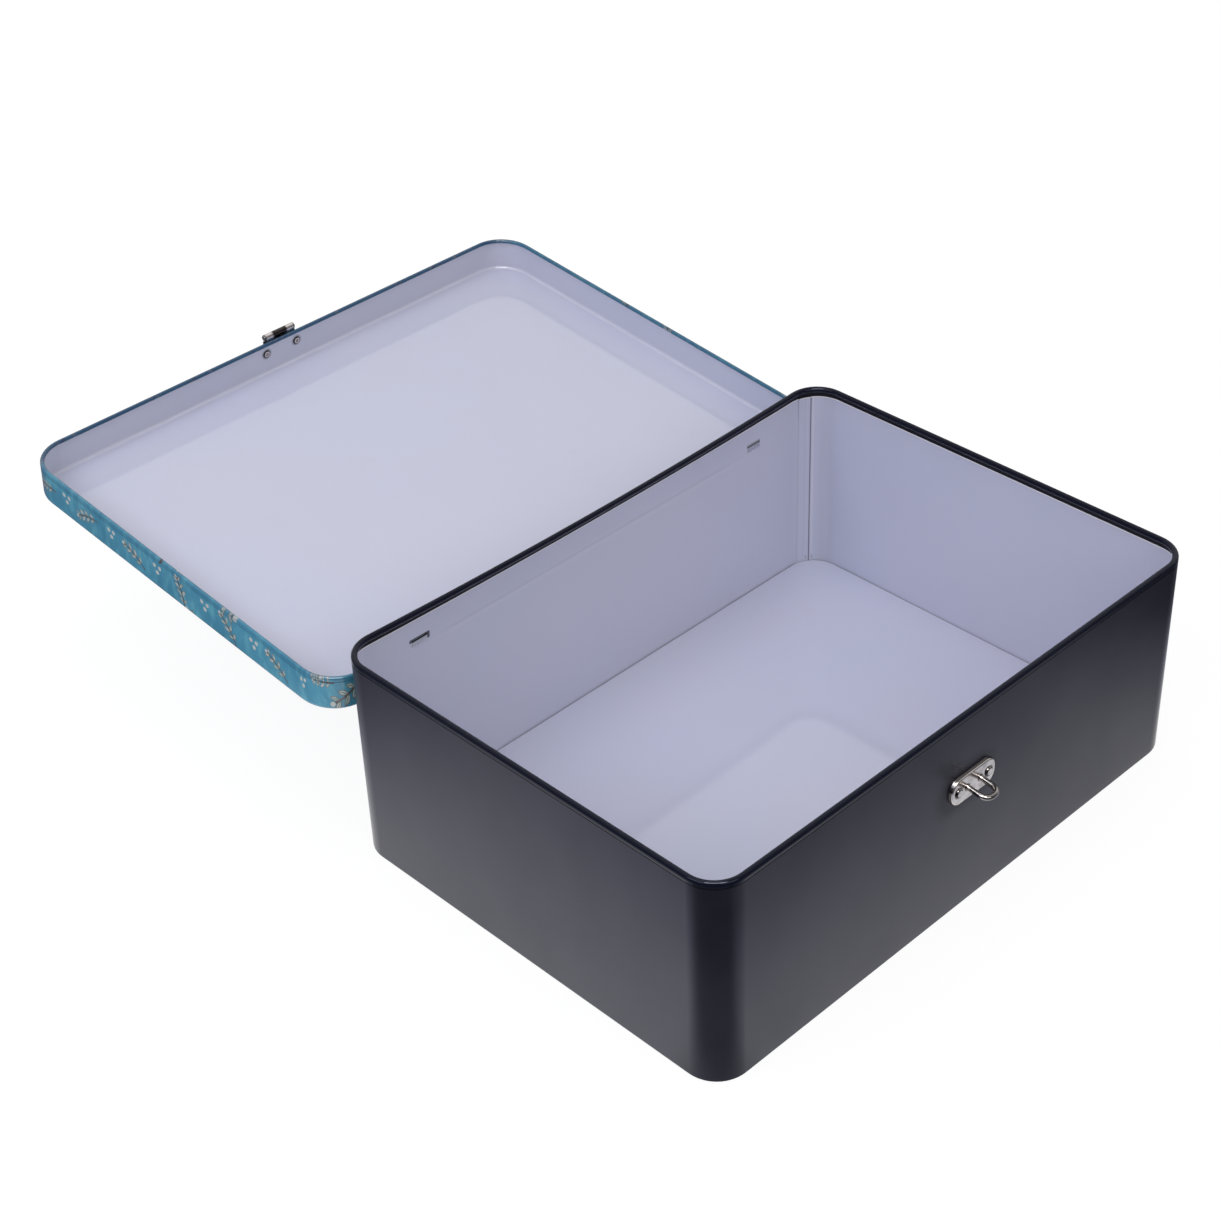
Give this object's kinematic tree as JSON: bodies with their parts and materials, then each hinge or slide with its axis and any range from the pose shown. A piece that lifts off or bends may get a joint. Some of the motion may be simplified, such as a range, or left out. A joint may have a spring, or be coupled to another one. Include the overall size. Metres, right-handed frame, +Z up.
{
  "type": "tin box",
  "caption": "Rectangular tin box for papers and keepsakes, with rounded corners, a hinged tray lid, and a hasp that folds over a fixed staple.",
  "frame": {"origin": "centre of the body's base, on the plane that the box stands on", "axes": "+X along the long edge, -Y out of the front wall with the staple, +Y out of the back wall with the hinge, +Z up"},
  "size_m": [0.3268, 0.4904, 0.1166],
  "materials": {
    "wall_tin": "satin black outside, gloss blue-white lacquer inside",
    "floor_tin": "gloss blue-white lacquer",
    "lid_tin": "gloss printed blue outside, gloss blue-white lacquer inside",
    "bare_tin": "dull bright tin",
    "steel_wire": "drawn steel wire",
    "nickel_plate": "bright nickel",
    "nickel_wire": "bright nickel",
    "nickel_rivet": "bright nickel"
  },
  "bodies": {
    "body": {"body_wall": "wall_tin", "floor_plate": "floor_tin", "body_hinge_strip": "bare_tin", "hinge_wire": "steel_wire", "clasp_plate": "nickel_plate", "staple": "nickel_wire", "clasp_rivets": "nickel_rivet"},
    "lid": {"lid_tray": "lid_tin", "lid_hinge_strip": "bare_tin", "hasp_mount": "nickel_plate", "hasp_rivets": "nickel_rivet", "hasp_pin": "steel_wire"},
    "hasp": {"hasp": "nickel_plate"}
  },
  "joints": [
    {"name": "lid_hinge", "type": "hinge", "parent": "body", "child": "lid", "pos_m": [0, 0.1192, 0.0907], "axis": [1, 0, 0], "range_deg": [0, 174.2]},
    {"name": "hasp_hinge", "type": "hinge", "parent": "lid", "child": "hasp", "pos_m": [0, 0.35802, 0.11496], "axis": [1, 0, 0], "range_deg": [0, 183]}
  ]
}
